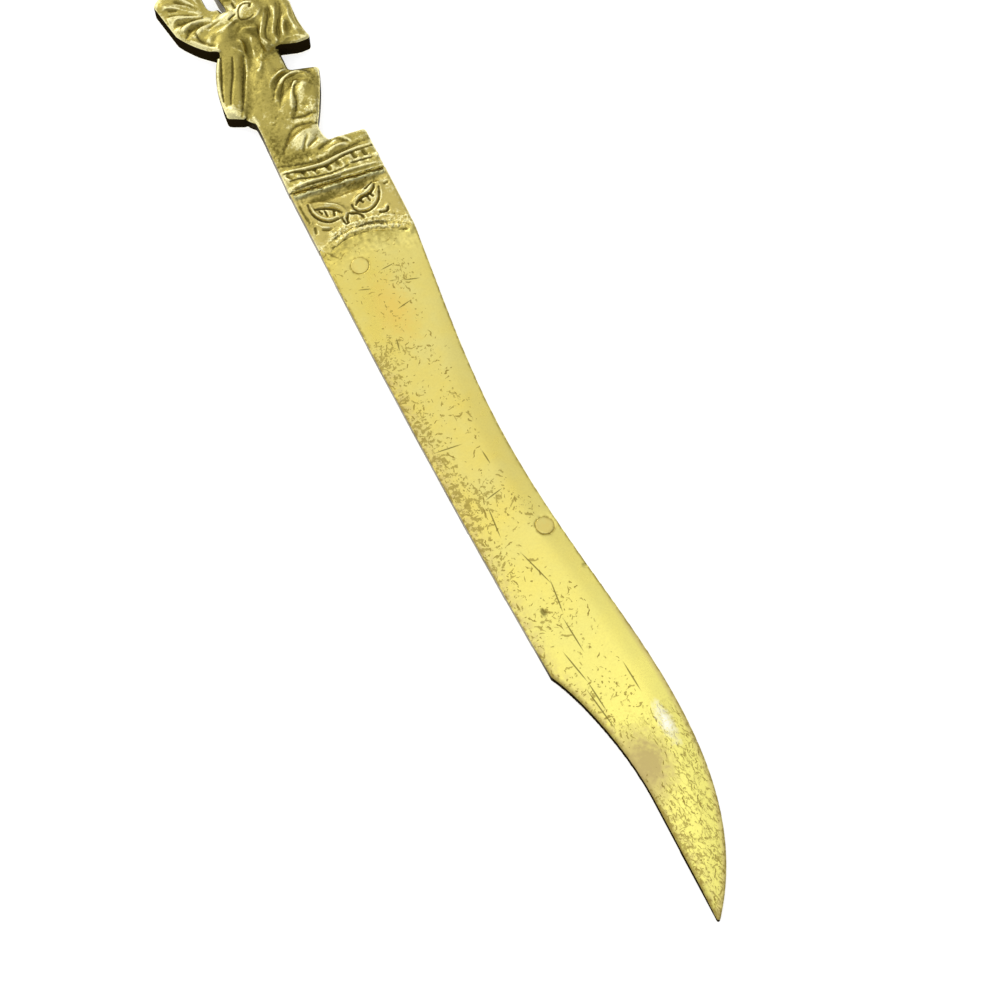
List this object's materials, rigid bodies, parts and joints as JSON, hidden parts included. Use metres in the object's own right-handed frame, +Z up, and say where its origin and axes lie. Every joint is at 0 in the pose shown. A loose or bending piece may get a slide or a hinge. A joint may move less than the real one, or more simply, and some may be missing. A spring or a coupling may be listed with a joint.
{
  "type": "letter opener",
  "caption": "Flat-backed brass letter opener with a sabre-like blade, a carved bolster and a cast handle of a crouching bearded figure.",
  "frame": {"origin": "on the flat back, where the blade leaves the bolster, in the middle of the blade's root", "axes": "+X across, towards the cutting edge; +Y along the opener, from the blade towards the head; +Z up out of the flat back, towards the carved face"},
  "size_m": [0.027, 0.2247, 0.0059],
  "materials": {
    "cast_brass": "cast, dark olive patina in the recesses, worn bright on the high spots",
    "polished_brass": "polished, finely scratched and pitted",
    "braze": "rough and grainy",
    "plug_brass": "polished flush with the blade"
  },
  "bodies": {
    "root": {"handle_figure": "cast_brass", "bolster": "cast_brass", "blade": "polished_brass", "upper_braze": "braze", "lower_braze": "braze", "upper_plug": "plug_brass", "lower_plug": "plug_brass"}
  },
  "joints": []
}
